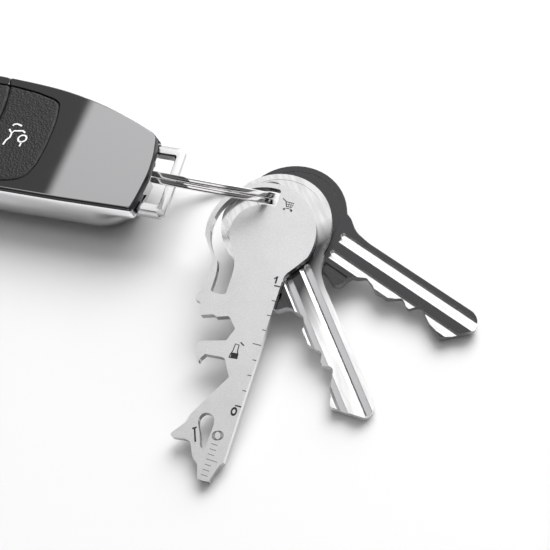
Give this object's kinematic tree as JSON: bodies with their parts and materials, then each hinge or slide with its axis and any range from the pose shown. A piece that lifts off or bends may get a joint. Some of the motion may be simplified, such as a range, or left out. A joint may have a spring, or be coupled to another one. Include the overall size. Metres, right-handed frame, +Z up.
{
  "type": "key bunch with multi-tool",
  "caption": "Split ring carrying a key-shaped flat multi-tool, two cylinder keys and a car remote with a pull-out emergency key.",
  "frame": {"origin": "centre of the whole bunch's footprint, on the table that it lies on", "axes": "+X along the remote towards its bail and the ring, +Y across the remote, +Z up from the table"},
  "size_m": [0.153, 0.08, 0.0232],
  "materials": {
    "black_plastic": "finely textured moulded black plastic, tray and battery cover",
    "chrome_trim": "bright mirror chrome plating on the side band and on the bail",
    "gloss_cover": "glossy dark grey lacquered plastic cover plates",
    "leather_pad": "black leather-grained rubber-coated button pads with a white printed icon",
    "blade_steel": "milled steel emergency blade",
    "ring_nickel": "polished nickel-plated spring steel",
    "tool_steel": "satin bead-blasted stainless steel with dark laser marks",
    "key_nickel_silver": "polished nickel silver with milled grooves",
    "key_dark": "dark reflective plated key metal",
    "board_green": "green solder-masked circuit board",
    "membrane_rubber": "soft black silicone keypad",
    "switch_metal": "small metal-capped tactile switches",
    "cell_steel": "bare steel can of a coin cell",
    "contact_brass": "spring bronze battery contacts",
    "coil_ferrite": "wound ferrite transponder coil",
    "chip_epoxy": "black epoxy chip package",
    "slider_plastic": "black moulded slide switch",
    "spring_steel": "drawn spring wire"
  },
  "bodies": {
    "housing": {"housing_tray": "black_plastic", "chrome_surround": "chrome_trim", "top_cover_front": "gloss_cover", "top_cover_rear": "gloss_cover", "circuit_board": "board_green", "keypad_membrane": "membrane_rubber", "boot_switch": "switch_metal", "unlock_switch": "switch_metal", "lock_switch": "switch_metal", "coin_cell": "cell_steel", "battery_contact_negative": "contact_brass", "battery_contact_positive": "contact_brass", "transponder_coil": "coil_ferrite", "radio_chip": "chip_epoxy", "release_spring": "spring_steel"},
    "boot_button": {"boot_button": "leather_pad"},
    "unlock_button": {"unlock_button": "leather_pad"},
    "lock_button": {"lock_button": "leather_pad"},
    "battery_cover": {"battery_cover": "black_plastic"},
    "release_slider": {"release_slider": "slider_plastic"},
    "emergency_key": {"emergency_key_head": "chrome_trim", "emergency_key_blade": "blade_steel"},
    "split_ring": {"split_ring": "ring_nickel"},
    "multi_tool": {"multi_tool": "tool_steel"},
    "silver_key": {"silver_key": "key_nickel_silver"},
    "dark_key": {"dark_key": "key_dark"}
  },
  "joints": [
    {"name": "boot_press", "type": "slide", "parent": "housing", "child": "boot_button", "axis": [0, 0, -1], "range_m": [0, 0.0004], "stiffness_N_per_m": 2500, "springref_m": -0.0002},
    {"name": "unlock_press", "type": "slide", "parent": "housing", "child": "unlock_button", "axis": [0, 0, -1], "range_m": [0, 0.0004], "stiffness_N_per_m": 2500, "springref_m": -0.0002},
    {"name": "lock_press", "type": "slide", "parent": "housing", "child": "lock_button", "axis": [0, 0, -1], "range_m": [0, 0.0004], "stiffness_N_per_m": 2500, "springref_m": -0.0002},
    {"name": "battery_cover_twist", "type": "hinge", "parent": "housing", "child": "battery_cover", "pos_m": [-0.05214, 0.02353, 0.0007], "axis": [0, 0, -1], "range_deg": [0, 30]},
    {"name": "release_slide", "type": "slide", "parent": "housing", "child": "release_slider", "axis": [-1, 0, 0], "range_m": [0, 0.002], "stiffness_N_per_m": 800, "springref_m": -0.0006, "deforming": ["release_spring"]},
    {"name": "emergency_key_draw", "type": "slide", "parent": "housing", "child": "emergency_key", "axis": [1, 0, 0], "range_m": [0, 0.04]},
    {"name": "ring_lift", "type": "hinge", "parent": "emergency_key", "child": "split_ring", "pos_m": [0.00686, 0.01953, 0.01065], "axis": [0, -1, 0], "range_deg": [0, 20]},
    {"name": "multi_tool_swing", "type": "hinge", "parent": "split_ring", "child": "multi_tool", "pos_m": [0.0305, 0.0106, 0.01074], "axis": [0.0527, -0.1745, 0.9833], "range_deg": [-60, 4]},
    {"name": "silver_key_swing", "type": "hinge", "parent": "split_ring", "child": "silver_key", "pos_m": [0.02939, 0.02049, 0.01022], "axis": [0.0527, -0.1745, 0.9833], "range_deg": [-7, 60]},
    {"name": "dark_key_swing", "type": "hinge", "parent": "split_ring", "child": "dark_key", "pos_m": [0.02856, 0.02213, 0.00801], "axis": [0.0527, -0.1745, 0.9833], "range_deg": [-6, 60]}
  ]
}
